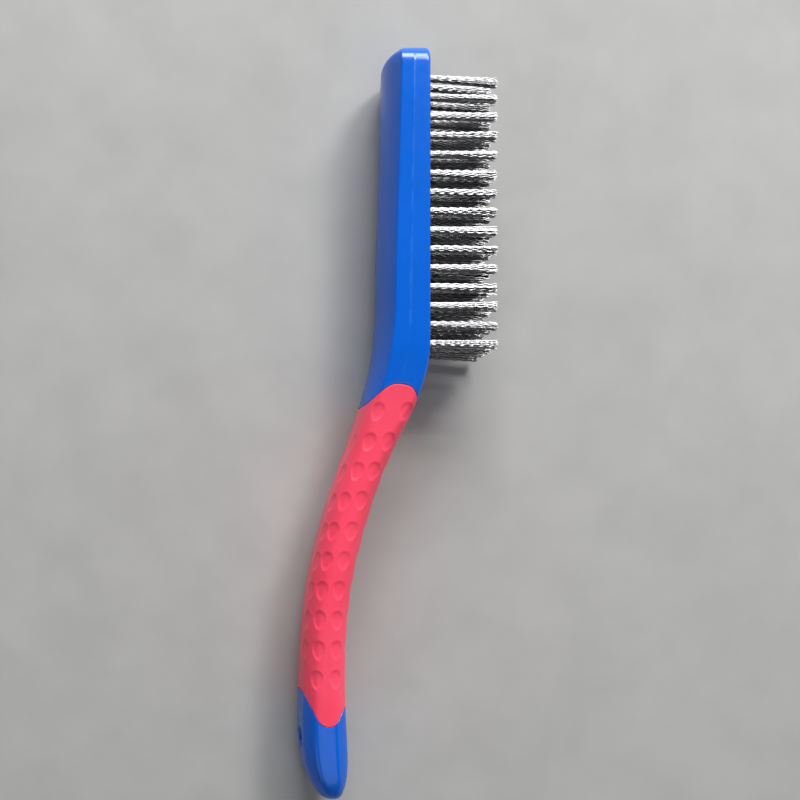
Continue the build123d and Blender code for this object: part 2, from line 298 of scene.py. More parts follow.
def body_ring(y, inset=0.0, hw_end=None):
    """One ring of the body. y is an array with a value for each column.
    hw_end is the half width of a ring that lies in the rounded head end."""
    xb, xf, hw, bx, bz, fx, fz = section(y, inset)
    if hw_end is not None:
        xb, xf = xb + round_off(y, END_BACK_R), xf - round_off(y, END_FACE_R)
        hw = np.full(N_COLS, hw_end)
        bz = hw - 0.45
    facet = facet_at(y)
    head = smooth_step(128.0, 150.0, y)
    x0, x1 = xb + bx, xf - fx
    xp = x0 + PART_T * (x1 - x0)
    phi_b = np.where(KIND == "bc", VAL, 0.0)
    dx_b, dz_b = corner(phi_b, bx, bz, facet)
    cx_b, cz_b = crown(phi_b, bx, bz)
    bow = smooth_step(124.0, 136.0, y)
    dx_b, dz_b = dx_b + (cx_b - dx_b) * bow, dz_b + (cz_b - dz_b) * bow
    xb = xb - 0.3 * bow
    dx_f, dz_f = corner(np.where(KIND == "fc", VAL, 0.0), fx, fz, facet)
    x = np.where(KIND == "bc", xb + dx_b, 0.0)
    x = np.where(KIND == "fc", xf - dx_f, x)
    x = np.where(KIND == "side", x0 + VAL * (x1 - x0), x)
    x = np.where(KIND == "back", xb, x)
    x = np.where(KIND == "front", xf, x)
    d = np.where(KIND == "bc", dz_b, 0.0) + np.where(KIND == "fc", dz_f, 0.0)
    d = np.where(KIND == "back", bz, d)
    d = np.where(KIND == "front", fz, d)
    draft = math.tan(math.radians(1.3)) * head
    lift = np.where(KIND == "side", flash(VAL, x1 - x0), 0.0) * (0.35 + 0.65 * head)
    run = np.where(KIND == "bc", x0 - xp, x - xp)
    drop = draft * np.sqrt(run ** 2 + 0.04) - lift * (inset == 0.0)
    fade = np.where(KIND == "bc", np.sin(np.radians(VAL)), 1.0) * (KIND != "back")
    d = np.minimum(d + drop * fade, hw)
    zc = hw - d
    # the strips run straight between the corners' first points
    z = np.where(SIDE == 0, VAL * zc, SIDE * zc)
    return np.stack([x, y, z], 1)


def edge_y(curve, lo, hi):
    """For each column, the y at which it crosses the edge curve drawn on the side."""
    ys = np.linspace(lo, hi, 700)
    out = np.zeros(N_COLS)
    xs = np.stack([body_ring(np.full(N_COLS, y))[:, 0] for y in ys])
    gap = ys[:, None] - curve(xs)
    for j in range(N_COLS):
        k = int(np.argmax(gap[:, j] > 0))
        k = max(k, 1)
        a, b = gap[k - 1, j], gap[k, j]
        out[j] = ys[k - 1] + (ys[k] - ys[k - 1]) * (-a) / (b - a)
    return out


def clamp_curve(curve, lo, hi):
    return lambda x: curve(np.clip(x, lo, hi))


top_curve = clamp_curve(top_edge, 13.0, 34.6)
bottom_curve = clamp_curve(bottom_edge, -9.8, 9.4)
Y_TOP = edge_y(top_curve, 118.0, 140.0)
Y_BOT = edge_y(bottom_curve, 2.0, 24.0)

LIP = 0.28
GAP = 0.05


def build_body():
    rings = []
    # tail, from the tip to the lip below the grip
    steps = np.linspace(0.0, 1.0, 70)[1:]
    w_end = warp(Y_BOT - LIP - GAP)
    for t in steps:
        rings.append(body_ring(TAIL_END + (t * w_end) ** 2))
    for a in np.radians([22.0, 45.0, 68.0, 90.0]):
        rings.append(body_ring(Y_BOT - GAP - LIP + LIP * math.sin(a), LIP * (1 - math.cos(a))))
    rings.append(body_ring(Y_BOT - GAP, 0.9))
    rings.append(body_ring(Y_BOT - GAP, GRIP_T))
    # core under the grip
    for t in np.linspace(0.0, 1.0, 46)[1:-1]:
        rings.append(body_ring(Y_BOT + t * (Y_TOP - Y_BOT), GRIP_T + 0.02))
    rings.append(body_ring(Y_TOP + GAP, GRIP_T))
    rings.append(body_ring(Y_TOP + GAP, 0.9))
    for a in np.radians([90.0, 68.0, 45.0, 22.0, 0.0]):
        rings.append(body_ring(Y_TOP + GAP + LIP - LIP * math.sin(a), LIP * (1 - math.cos(a))))
    # neck and head
    y_a = Y_TOP + GAP + LIP
    for t in np.linspace(0.0, 1.0, 34)[1:]:
        rings.append(body_ring(y_a + t * (163.0 - y_a)))
    for y in np.linspace(163.0, HEAD_END - PLAN_R, 60)[1:]:
        rings.append(body_ring(np.full(N_COLS, y)))
    for th in np.radians(np.concatenate([np.linspace(0.0, 72.0, 25)[1:], [76.0, 80.0, 83.5, 86.5]])):
        y = HEAD_END - PLAN_R * (1 - math.sin(th))
        rings.append(body_ring(np.full(N_COLS, y), hw_end=HALF_W - PLAN_R * (1 - math.cos(th))))
    verts = np.concatenate(rings)
    faces = []
    for i in range(len(rings) - 1):
        faces += ring_faces(i * N_COLS, (i + 1) * N_COLS, N_COLS)
    # tail tip
    tip = len(verts)
    verts = np.vstack([verts, [[3.55, TAIL_END, 0.0]]])
    faces += [((j + 1) % N_COLS, j, tip) for j in range(N_COLS)]
    # end wall: a grid that hangs between the last ring's strips and its two sides
    last = (len(rings) - 1) * N_COLS
    ring = rings[-1]
    a0 = N_STRIP                                   # first back corner column at +z
    n_prof = N_BACK + N_SIDE + N_CORNER            # segments from the back strip to the front strip
    plus = [last + a0 + k for k in range(n_prof + 1)]
    b0 = N_STRIP + n_prof + N_STRIP                # first front corner column at -z
    minus = [last + (b0 + k) % N_COLS for k in range(n_prof + 1)][::-1]
    grid = [minus]
    for i in range(1, N_STRIP):
        f = i / N_STRIP
        row = []
        for k in range(n_prof + 1):
            if k == 0:
                row.append(last + i)
            elif k == n_prof:
                row.append(last + N_STRIP + n_prof + (N_STRIP - i))
            else:
                p, m = verts[plus[k]], verts[minus[k]]
                row.append(len(verts))
                verts = np.vstack([verts, [m + (p - m) * f]])
        grid.append(row)
    grid.append(plus)
    for i in range(N_STRIP):
        for k in range(n_prof):
            faces.append((grid[i][k], grid[i + 1][k], grid[i + 1][k + 1], grid[i][k + 1]))
    return make_mesh("body_moulding", verts, faces)


def lathe(name, profile, axis_origin, sides=48):
    """A closed solid of revolution about X. profile is a list of (x, r) from one end to the other."""
    verts, faces = [], []
    ox, oy, oz = axis_origin
    ang = np.linspace(0, 2 * math.pi, sides, endpoint=False)
    for x, r in profile:
        verts.append(np.stack([np.full(sides, ox + x), oy + r * np.cos(ang), oz + r * np.sin(ang)], 1))
    verts = np.concatenate(verts)
    for i in range(len(profile) - 1):
        faces += ring_faces(i * sides, (i + 1) * sides, sides)
    faces.append(list(range(sides))[::-1])
    faces.append([(len(profile) - 1) * sides + k for k in range(sides)])
    return verts, faces


def join(parts):
    verts, faces, base = [], [], 0
    for v, f in parts:
        verts.append(v)
        faces += [[i + base for i in g] for g in f]
        base += len(v)
    return np.concatenate(verts), faces


def fix_normals(ob):
    import bmesh
    bm = bmesh.new()
    bm.from_mesh(ob.data)
    bmesh.ops.recalc_face_normals(bm, faces=bm.faces)
    bm.to_mesh(ob.data)
    bm.free()
    ob.data.update()


def cut(ob, cutter):
    mod = ob.modifiers.new("cut", "BOOLEAN")
    mod.operation = "DIFFERENCE"
    mod.solver = "EXACT"
    mod.object = cutter
    dg = bpy.context.evaluated_depsgraph_get()
    me = bpy.data.meshes.new_from_object(ob.evaluated_get(dg))
    ob.modifiers.remove(mod)
    old = ob.data
    ob.data = me
    bpy.data.meshes.remove(old)
    bpy.data.objects.remove(cutter)


ROWS = sorted(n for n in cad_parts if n.startswith("tuft_row_"))
ROW_Y = []
for n in ROWS:
    lo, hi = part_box(n)
    ROW_Y.append((lo.y + hi.y) / 2 / MM)
TUFT_Z = [(j - (ACROSS - 1) / 2) * PITCH_ACROSS for j in range(ACROSS)]

body = build_body()
fix_normals(body)

# tuft holes with a slightly broken rim, and the hanging hole with rolled mouths
hole_parts = [
    lathe("", [(FACE_X - 9.0, HOLE_R), (FACE_X - 0.16, HOLE_R), (FACE_X, HOLE_R + 0.13),
               (FACE_X + 1.0, HOLE_R + 0.13)], (0.0, y, z), 36)
    for y in ROW_Y for z in TUFT_Z
]
roll = [(-HANG_MOUTH * math.sin(a), HANG_MOUTH * (1 - math.cos(a)))
        for a in np.radians(np.linspace(0.0, 74.0, 9))]
back_side = [(HANG_BACK_X + HANG_MOUTH + dx, HANG_R + dr) for dx, dr in roll][::-1]
front_side = [(HANG_FRONT_X - HANG_MOUTH - dx, HANG_R + dr) for dx, dr in roll]
hang = [(HANG_BACK_X - 3.0, back_side[0][1] + 1.2)] + back_side + front_side
hang.append((HANG_FRONT_X + 3.0, front_side[-1][1] + 1.2))
hole_parts.append(lathe("", hang, (0.0, 0.0, 0.0), 72))
cutter = make_mesh("cutter", *join(hole_parts))
fix_normals(cutter)
cut(body, cutter)
shade(body)


def mark_parting(ob):
    """A value that is 1 on the mould's parting line of the side faces and falls off beside it."""
    me = ob.data
    co = np.zeros(len(me.vertices) * 3)
    me.vertices.foreach_get("co", co)
    co = co.reshape(-1, 3) / MM
    xb, xf, hw, bx, bz, fx, fz = section(np.clip(co[:, 1], TAIL_END + 0.01, HEAD_END))
    x0, x1 = xb + bx, xf - fx
    d = np.abs(co[:, 0] - (x0 + PART_T * (x1 - x0)))
    w = np.exp(-((d / 0.42) ** 2)) * (np.abs(co[:, 2]) > hw - 1.2)
    w *= smooth_step(132.0, 150.0, co[:, 1]) * (1 - smooth_step(HEAD_END - 9.0, HEAD_END - 5.0, co[:, 1]))
    layer = me.attributes.new("parting", "FLOAT", "POINT")
    layer.data.foreach_set("value", w.astype(np.float32))


mark_parting(body)

# ---------------------------------------------------------------------------
# Soft grip: a fine skin with pressed ovals
# ---------------------------------------------------------------------------
N_AROUND, N_ALONG = 264, 344


def even_section(y, inset=0.0):
    """A section at each y resampled evenly round its length: arrays (len(y), N_AROUND) of x and z."""
    y = np.asarray(y, float)
    xb, xf, hw, bx, bz, fx, fz = [v[:, None] for v in section(y, inset)]
    facet = facet_at(y)[:, None]
    ph = np.linspace(0.0, 90.0, 40)[None, :]
    cbx, cbz = corner(ph, bx, bz, facet)
    wx, wz = crown(ph, bx, bz)
    bow = smooth_step(124.0, 136.0, y)[:, None]
    cbx, cbz = cbx + (wx - cbx) * bow, cbz + (wz - cbz) * bow
    xb = xb - 0.3 * bow
    cfx, cfz = corner(ph[:, ::-1], fx, fz, facet)
    st = np.linspace(0.0, 1.0, 12)[None, 1:-1]
    half_x = np.concatenate([
        xb + 0 * st, xb + cbx, (xb + bx) + st * (xf - fx - xb - bx), xf - cfx, xf + 0 * st,
    ], 1)
    half_z = np.concatenate([
        st * (hw - bz), hw - cbz, hw + 0 * st, hw - cfz, (1 - st) * (hw - fz),
    ], 1)
    x = np.concatenate([xb, half_x, xf, half_x[:, ::-1], xb], 1)
    z = np.concatenate([0 * xb, half_z, 0 * xb, -half_z[:, ::-1], 0 * xb], 1)
    s = np.concatenate([np.zeros((len(y), 1)), np.cumsum(np.hypot(np.diff(x, axis=1), np.diff(z, axis=1)), 1)], 1)
    u = np.arange(N_AROUND) / N_AROUND
    ox, oz = np.zeros((len(y), N_AROUND)), np.zeros((len(y), N_AROUND))
    for i in range(len(y)):
        ox[i] = np.interp(u * s[i, -1], s[i], x[i])
        oz[i] = np.interp(u * s[i, -1], s[i], z[i])
    return ox, oz


GRID_Y = np.arange(1.0, 140.01, 0.25)
SKIN_X, SKIN_Z = even_section(GRID_Y)
CORE_X, CORE_Z = even_section(GRID_Y, GRIP_T)


def skin_at(y, depth=0.0):
    """Points of the skin at y (rows, N_AROUND), depth 0 on the skin to 1 on the core."""
    f = (y - GRID_Y[0]) / 0.25
    i = np.clip(f.astype(int), 0, len(GRID_Y) - 2)
    f = f - i
    j = np.broadcast_to(np.arange(N_AROUND), y.shape)
    x = SKIN_X[i, j] * (1 - f) + SKIN_X[i + 1, j] * f
    z = SKIN_Z[i, j] * (1 - f) + SKIN_Z[i + 1, j] * f
    cx = CORE_X[i, j] * (1 - f) + CORE_X[i + 1, j] * f
    cz = CORE_Z[i, j] * (1 - f) + CORE_Z[i + 1, j] * f
    x, z = x + (cx - x) * depth, z + (cz - z) * depth
    return np.stack([x, y + 0 * x, z], -1)


def skin_edge(curve, lo, hi):
    ys = np.linspace(lo, hi, 600)
    p = skin_at(np.broadcast_to(ys[:, None], (600, N_AROUND)))
    gap = ys[:, None] - curve(p[..., 0])
    k = np.maximum(np.argmax(gap > 0, 0), 1)
    j = np.arange(N_AROUND)
    a, b = gap[k - 1, j], gap[k, j]
    return ys[k - 1] + (ys[k] - ys[k - 1]) * (-a) / (b - a)


def build_grip():
    g_top, g_bot = skin_edge(top_curve, 118.0, 138.0), skin_edge(bottom_curve, 2.0, 24.0)
    r = 0.30
    t = np.linspace(0.0, 1.0, N_ALONG)[:, None]
    y = (g_bot + GAP + r) + t * ((g_top - GAP - r) - (g_bot + GAP + r))
    p = skin_at(y)
    # normals of the smooth skin
    dy = np.gradient(p, axis=0)
    du = (np.roll(p, -1, 1) - np.roll(p, 1, 1)) / 2
    n = np.cross(dy, du)
    n /= np.linalg.norm(n, axis=-1, keepdims=True)
    mid = p.mean(axis=1, keepdims=True)
    n *= np.sign((n * (p - mid)).sum(-1, keepdims=True).mean())
    along = dy / np.linalg.norm(dy, axis=-1, keepdims=True)

    # centres of the ovals
    centres = []
    for k, (xa, xc) in enumerate(OVAL_SIDE_X):
        yc = OVAL_TOP_Y - k * OVAL_PITCH
        for sign in (1, -1):
            centres.append((xa, yc, sign, "side"))
            centres.append((xc, yc, sign, "side"))
            if 0 < k < len(OVAL_SIDE_X) - 1:
                centres.append((OVAL_BACK_Z, yc, sign, "back"))
                centres.append((OVAL_BACK_Z, yc, sign, "front"))
    flat_p, flat_n, flat_a = p.reshape(-1, 3), n.reshape(-1, 3), along.reshape(-1, 3)
    depth = np.zeros(len(flat_p))
    for v, yc, sign, where in centres:
        near_y = np.abs(flat_p[:, 1] - yc) < 0.4
        if where == "side":
            ok = near_y & (flat_p[:, 2] * sign > 0) & (np.abs(flat_p[:, 0] - v) < 1.5)
            cand = np.where(ok)[0]
            c = cand[np.argmin(np.abs(flat_p[cand, 0] - v) + np.abs(flat_p[cand, 1] - yc))]
        else:
            xb, xf = section(np.array([yc]))[0][0], section(np.array([yc]))[1][0]
            back_half = flat_p[:, 0] < (xb + xf) / 2
            ok = near_y & (back_half if where == "back" else ~back_half)
            cand = np.where(ok)[0]
            c = cand[np.argmin(np.abs(flat_p[cand, 2] - sign * v) + np.abs(flat_p[cand, 1] - yc))]
        o, t1, nn = flat_p[c], flat_a[c], flat_n[c]
        t2 = np.cross(nn, t1)
        d = flat_p - o
        close = (d * d).sum(1) < 5.5**2
        d = d[close]
        a = d @ t1 / 3.55
        b = d @ t2
        lift = d @ nn
        b = np.sign(b) * np.sqrt(b * b + lift * lift * 0.6)
        width = 2.35 * (1 + 0.22 * np.clip(a, -1, 1))
        rho = np.sqrt(a * a + (b / width) ** 2)
        dish = np.clip(1 - rho**5.5, 0.0, None) * (0.82 + 0.18 * (1 - np.clip(rho, 0, 1) ** 2))
        rim = 0.045 * np.exp(-(((rho - 1.12) / 0.10) ** 2))
        cur = depth[close]
        new = 0.35 * dish - rim
        depth[close] = np.where(np.abs(new) > np.abs(cur), new, cur)
    depth = depth.reshape(p.shape[:2])
    # a fine moulding line along the front edge of each side
    xb, xf, hw, bx, bz, fx, fz = section(y[:, :1] if y.shape[1] == 1 else y.mean(1, keepdims=True))
    off = np.abs(p[..., 0] - (xf - 0.42 * fx)) + 99.0 * (np.abs(p[..., 2]) < 0.5 * hw)
    depth = depth - 0.09 * np.exp(-((off / 0.26) ** 2)) * (np.abs(depth) < 0.05)
    p = p - n * depth[..., None]

    rows = []
    lower, upper = g_bot + GAP, g_top - GAP
    one = np.ones((1, N_AROUND))
    rows.append(skin_at((lower + 0.02) * one, 0.97))
    rows.append(skin_at(lower * one, 0.45))
    for a in np.radians([90.0, 60.0, 30.0]):
        rows.append(skin_at((lower + r - r * math.sin(a)) * one, r / GRIP_T * (1 - math.cos(a))))
    rows.append(p)
    for a in np.radians([30.0, 60.0, 90.0]):
        rows.append(skin_at((upper - r + r * math.sin(a)) * one, r / GRIP_T * (1 - math.cos(a))))
    rows.append(skin_at(upper * one, 0.45))
    rows.append(skin_at((upper - 0.02) * one, 0.97))
    p = np.concatenate(rows, 0)
    verts = p.reshape(-1, 3)
    faces = []
    for i in range(p.shape[0] - 1):
        faces += ring_faces(i * N_AROUND, (i + 1) * N_AROUND, N_AROUND)
    # inner wall, resting on the core, so that the grip is a closed skin
    inner_rows = 14
    base = len(verts)
    add = []
    for t in np.linspace(0.0, 1.0, inner_rows)[1:-1]:
        add.append(skin_at((upper + t * (lower - upper))[None, :], 0.97)[0])
    verts = np.vstack([verts] + add)
    first, last = 0, (p.shape[0] - 1) * N_AROUND
    chain = [last] + [base + k * N_AROUND for k in range(len(add))] + [first]
    for a, b in zip(chain, chain[1:]):
        faces += ring_faces(a, b, N_AROUND)
    return make_mesh("grip_moulding", verts, faces)


grip = build_grip()
fix_normals(grip)
shade(grip, 60.0)

# ---------------------------------------------------------------------------
# Wire tufts
# ---------------------------------------------------------------------------
RING = [
    (rr * math.cos(2 * math.pi * (k + 0.5 * n) / c), rr * math.sin(2 * math.pi * (k + 0.5 * n) / c))
    for n, (c, rr) in enumerate(WIRE_RINGS) for k in range(c)
]
SEGS, SIDES, CRIMP = 50, 5, 3.5


def wire_mesh(paths, radius, sides):
    """Tubes round the paths (wires, points, 3), with a flat cut end on the outer tip."""
    w, k, _ = paths.shape
    tangent = np.gradient(paths, axis=1)
    tangent /= np.linalg.norm(tangent, axis=-1, keepdims=True)
    up = np.cross(tangent, np.array([0.0, 0.0, 1.0]))
    up /= np.linalg.norm(up, axis=-1, keepdims=True)
    out = np.cross(tangent, up)
    ang = np.linspace(0, 2 * math.pi, sides, endpoint=False)
    ring = (
        paths[:, :, None, :]
        + radius[:, None, None, None] * (
            np.cos(ang)[None, None, :, None] * up[:, :, None, :]
            + np.sin(ang)[None, None, :, None] * out[:, :, None, :]
        )
    )
    verts = ring.reshape(-1, 3)
    wi = np.arange(w)[:, None, None] * (k * sides)
    ki = np.arange(k - 1)[None, :, None] * sides
    si = np.arange(sides)[None, None, :]
    sn = (si + 1) % sides
    quads = np.stack([wi + ki + si, wi + ki + sn, wi + ki + sides + sn, wi + ki + sides + si], -1)
    faces = quads.reshape(-1, 4).tolist()
    for i in range(w):
        b = i * k * sides + (k - 1) * sides
        faces.append([b + s for s in range(sides)])
        faces.append([i * k * sides + s for s in range(sides)][::-1])
    return verts, faces


def build_row(index, y0):
    last = index == len(ROW_Y) - 1
    paths, radii = [], []
    for j, z0 in enumerate(TUFT_Z):
        lean = math.radians(1.6 + RNG.normal(0, 0.35) + (3.0 if last else 0.0))
        lean_z = math.radians(RNG.normal(0, 0.5))
        base_phase = RNG.uniform(0, 2 * math.pi)
        base_turn = RNG.uniform(-0.9, 0.9)
        for ry, rz in RING:
            x_root, x_tip = FACE_X - 5.0, FACE_X + TRIM + RNG.normal(0, 0.14)
            x = np.concatenate([[x_root, FACE_X - 1.0], np.linspace(FACE_X, x_tip, SEGS)])
            t = np.clip((x - FACE_X) / TRIM, 0.0, 1.1)
            spread = 0.95 + 0.42 * t
            phase = base_phase + RNG.normal(0, 0.40) + (math.pi if RNG.random() < 0.12 else 0.0)
            turn = base_turn + RNG.normal(0, 0.45)
            amp = RNG.uniform(0.15, 0.22) * np.clip((x - FACE_X - 0.3) / 2.5, 0.0, 1.0)
            wave = amp * np.sin(2 * math.pi * x / CRIMP + phase)
            drift = RNG.normal(0, 0.20, 2)
            if RNG.random() < 0.07:
                drift = drift + RNG.normal(0, 0.55, 2)
            y = y0 + ry * spread - math.tan(lean) * np.maximum(x - FACE_X, 0) + wave * math.cos(turn) + drift[0] * t**2
            z = z0 + rz * spread + math.tan(lean_z) * np.maximum(x - FACE_X, 0) + wave * math.sin(turn) + drift[1] * t**2
            paths.append(np.stack([x, y, z], 1))
            radii.append(WIRE_R)
    verts, faces = wire_mesh(np.array(paths), np.array(radii), SIDES)
    return make_mesh(f"wires_row_{index + 1:02d}", verts, faces)


wire_rows = []
for i, y0 in enumerate(ROW_Y):
    ob = build_row(i, y0)
    shade(ob, 50.0)
    wire_rows.append(ob)


# ---------------------------------------------------------------------------
# Materials
# ---------------------------------------------------------------------------
def new_material(name):
    m = bpy.data.materials.new(name)
    m.use_nodes = True
    nt = m.node_tree
    bsdf = next(n for n in nt.nodes if n.type == "BSDF_PRINCIPLED")
    coord = nt.nodes.new("ShaderNodeTexCoord")
    return m, nt, bsdf, coord


def node(nt, kind, **inputs):
    n = nt.nodes.new(kind)
    for k, v in inputs.items():
        n.inputs[k.replace("_", " ")].default_value = v
    return n


def noise(nt, coord, scale, detail=4.0, rough=0.55, stretch=None):
    n = nt.nodes.new("ShaderNodeTexNoise")
    n.inputs["Scale"].default_value = scale
    n.inputs["Detail"].default_value = detail
    n.inputs["Roughness"].default_value = rough
    source = coord.outputs["Object"]
    if stretch is not None:
        mp = nt.nodes.new("ShaderNodeMapping")
        mp.inputs["Scale"].default_value = stretch
        nt.links.new(source, mp.inputs["Vector"])
        source = mp.outputs["Vector"]
    nt.links.new(source, n.inputs["Vector"])
    return n.outputs["Fac"]


def remap(nt, value, a, b, lo, hi):
    n = nt.nodes.new("ShaderNodeMapRange")
    n.inputs["From Min"].default_value = a
    n.inputs["From Max"].default_value = b
    n.inputs["To Min"].default_value = lo
    n.inputs["To Max"].default_value = hi
    nt.links.new(value, n.inputs["Value"])
    return n.outputs["Result"]


def ramp(nt, value, stops):
    n = nt.nodes.new("ShaderNodeValToRGB")
    el = n.color_ramp.elements
    while len(el) < len(stops):
        el.new(0.5)
    for e, (pos, col) in zip(el, stops):
        e.position = pos
        e.color = (*col, 1.0)
    nt.links.new(value, n.inputs["Fac"])
    return n.outputs["Color"]


def mix(nt, fac, a, b, mode="MIX"):
    n = nt.nodes.new("ShaderNodeMix")
    n.data_type = "RGBA"
    n.blend_type = mode
    if isinstance(fac, float):
        n.inputs["Factor"].default_value = fac
    else:
        nt.links.new(fac, n.inputs["Factor"])
    for sock, v in (("A", a), ("B", b)):
        s = next(i for i in n.inputs if i.name == sock and i.type == "RGBA")
        if isinstance(v, tuple):
            s.default_value = (*v, 1.0)
        else:
            nt.links.new(v, s)
    return next(o for o in n.outputs if o.type == "RGBA")


def bump(nt, height, strength, distance, normal=None):
    n = nt.nodes.new("ShaderNodeBump")
    n.inputs["Strength"].default_value = strength
    n.inputs["Distance"].default_value = distance
    nt.links.new(height, n.inputs["Height"])
    if normal is not None:
        nt.links.new(normal, n.inputs["Normal"])
    return n.outputs["Normal"]


def blue_plastic():
    m, nt, bsdf, coord = new_material("moulded_plastic")
    cloud = noise(nt, coord, 28.0, 3.0)
    base = ramp(nt, cloud, [(0.30, (0.001, 0.112, 0.62)), (0.70, (0.002, 0.125, 0.67))])
    # long faint scuffs along the block
    scuff = noise(nt, coord, 160.0, 6.0, 0.7, (6.0, 0.5, 6.0))
    scuff_mask = remap(nt, scuff, 0.60, 0.78, 0.0, 1.0)
    base = mix(nt, remap(nt, scuff_mask, 0.0, 1.0, 0.0, 0.05), base, (0.20, 0.35, 0.75))
    # painted highlight: a pale streak is painted along the mould's parting line, standing in for the light its ridge
    # catches
    line = nt.nodes.new("ShaderNodeAttribute")
    line.attribute_name = "parting"
    parting_highlight = nt.nodes.new("ShaderNodeMath")
    parting_highlight.operation = "MULTIPLY"
    nt.links.new(line.outputs["Fac"], parting_highlight.inputs[0])
    nt.links.new(remap(nt, noise(nt, coord, 110.0, 4.0), 0.42, 0.60, 0.0, 0.15), parting_highlight.inputs[1])
    base = mix(nt, parting_highlight.outputs[0], base, (0.12, 0.36, 0.86))
    nt.links.new(base, bsdf.inputs["Base Color"])
    fine = noise(nt, coord, 420.0, 5.0)
    rough = nt.nodes.new("ShaderNodeMath")
    rough.operation = "ADD"
    nt.links.new(remap(nt, fine, 0.3, 0.7, 0.18, 0.23), rough.inputs[0])
    nt.links.new(remap(nt, scuff_mask, 0.0, 1.0, 0.0, 0.05), rough.inputs[1])
    nt.links.new(rough.outputs[0], bsdf.inputs["Roughness"])
    bsdf.inputs["IOR"].default_value = 1.46
    wave = noise(nt, coord, 60.0, 2.0)
    n1 = bump(nt, wave, 0.10, 0.0005)
    n2 = bump(nt, fine, 0.03, 0.00002, n1)
    nt.links.new(n2, bsdf.inputs["Normal"])
    return m


def soft_rubber():
    m, nt, bsdf, coord = new_material("soft_grip_rubber")
    cloud = noise(nt, coord, 35.0, 3.0)
    base = ramp(nt, cloud, [(0.30, (0.95, 0.046, 0.110)), (0.70, (1.0, 0.066, 0.142))])
    dust = noise(nt, coord, 240.0, 6.0, 0.65)
    dust_mask = remap(nt, dust, 0.60, 0.80, 0.0, 0.14)
    base = mix(nt, dust_mask, base, (0.95, 0.35, 0.42))
    nt.links.new(base, bsdf.inputs["Base Color"])
    grain = noise(nt, coord, 1500.0, 4.0)
    nt.links.new(remap(nt, grain, 0.3, 0.7, 0.46, 0.60), bsdf.inputs["Roughness"])
    bsdf.inputs["IOR"].default_value = 1.45
    bsdf.inputs["Subsurface Weight"].default_value = 0.06
    bsdf.inputs["Subsurface Radius"].default_value = (0.0012, 0.0004, 0.0004)
    bsdf.inputs["Sheen Weight"].default_value = 0.10
    bsdf.inputs["Sheen Roughness"].default_value = 0.5
    n1 = bump(nt, noise(nt, coord, 90.0, 3.0), 0.22, 0.0005)
    n2 = bump(nt, grain, 0.30, 0.00005, n1)
    nt.links.new(n2, bsdf.inputs["Normal"])
    return m


def steel(name, light, dark, rough_lo, rough_hi, stretch, paint_occlusion=False):
    m, nt, bsdf, coord = new_material(name)
    streak = noise(nt, coord, 260.0, 4.0, 0.6, stretch)
    base = ramp(nt, streak, [(0.32, dark), (0.62, light)])
    spots = noise(nt, coord, 500.0, 5.0, 0.7)
    tarnish = remap(nt, spots, 0.62, 0.80, 0.0, 0.45)
    base = mix(nt, tarnish, base, (0.30, 0.27, 0.24))
    if paint_occlusion:
        # painted shade: wires deep in a tuft are darkened towards near black wherever ambient occlusion finds little
        # open space
        ao = nt.nodes.new("ShaderNodeAmbientOcclusion")
        ao.samples = 6
        ao.inputs["Distance"].default_value = 0.008
        occlusion_shade = remap(nt, ao.outputs["AO"], 0.31, 0.68, 0.0, 1.0)
        base = mix(nt, occlusion_shade, (0.010, 0.010, 0.011), base)
    nt.links.new(base, bsdf.inputs["Base Color"])
    bsdf.inputs["Metallic"].default_value = 1.0
    nt.links.new(remap(nt, spots, 0.3, 0.7, rough_lo, rough_hi), bsdf.inputs["Roughness"])
    n1 = bump(nt, noise(nt, coord, 900.0, 4.0, 0.6, stretch), 0.25, 0.00003)
    nt.links.new(n1, bsdf.inputs["Normal"])
    return m


mat_body = blue_plastic()
mat_grip = soft_rubber()
mat_wire = steel("crimped_wire_steel", (0.40, 0.40, 0.41), (0.26, 0.26, 0.27), 0.34, 0.48, (0.4, 3.0, 3.0), paint_occlusion=True)
mat_anchor = steel("flat_anchor_steel", (0.70, 0.70, 0.71), (0.50, 0.50, 0.52), 0.30, 0.48, (3.0, 0.6, 3.0))


def paint(ob, mat):
    ob.data.materials.clear()
    ob.data.materials.append(mat)


paint(body, mat_body)
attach(body, "root")
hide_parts("handle_body")

paint(grip, mat_grip)
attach(grip, "root")
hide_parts("soft_grip")

for ob, n in zip(wire_rows, ROWS):
    paint(ob, mat_wire)
    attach(ob, "root")
    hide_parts(n)

for n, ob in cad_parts.items():
    if n.startswith("anchor_row_"):
        if not ob.material_slots:
            ob.data.materials.append(None)
        for s in ob.material_slots:
            s.link = "OBJECT"
            s.material = mat_anchor

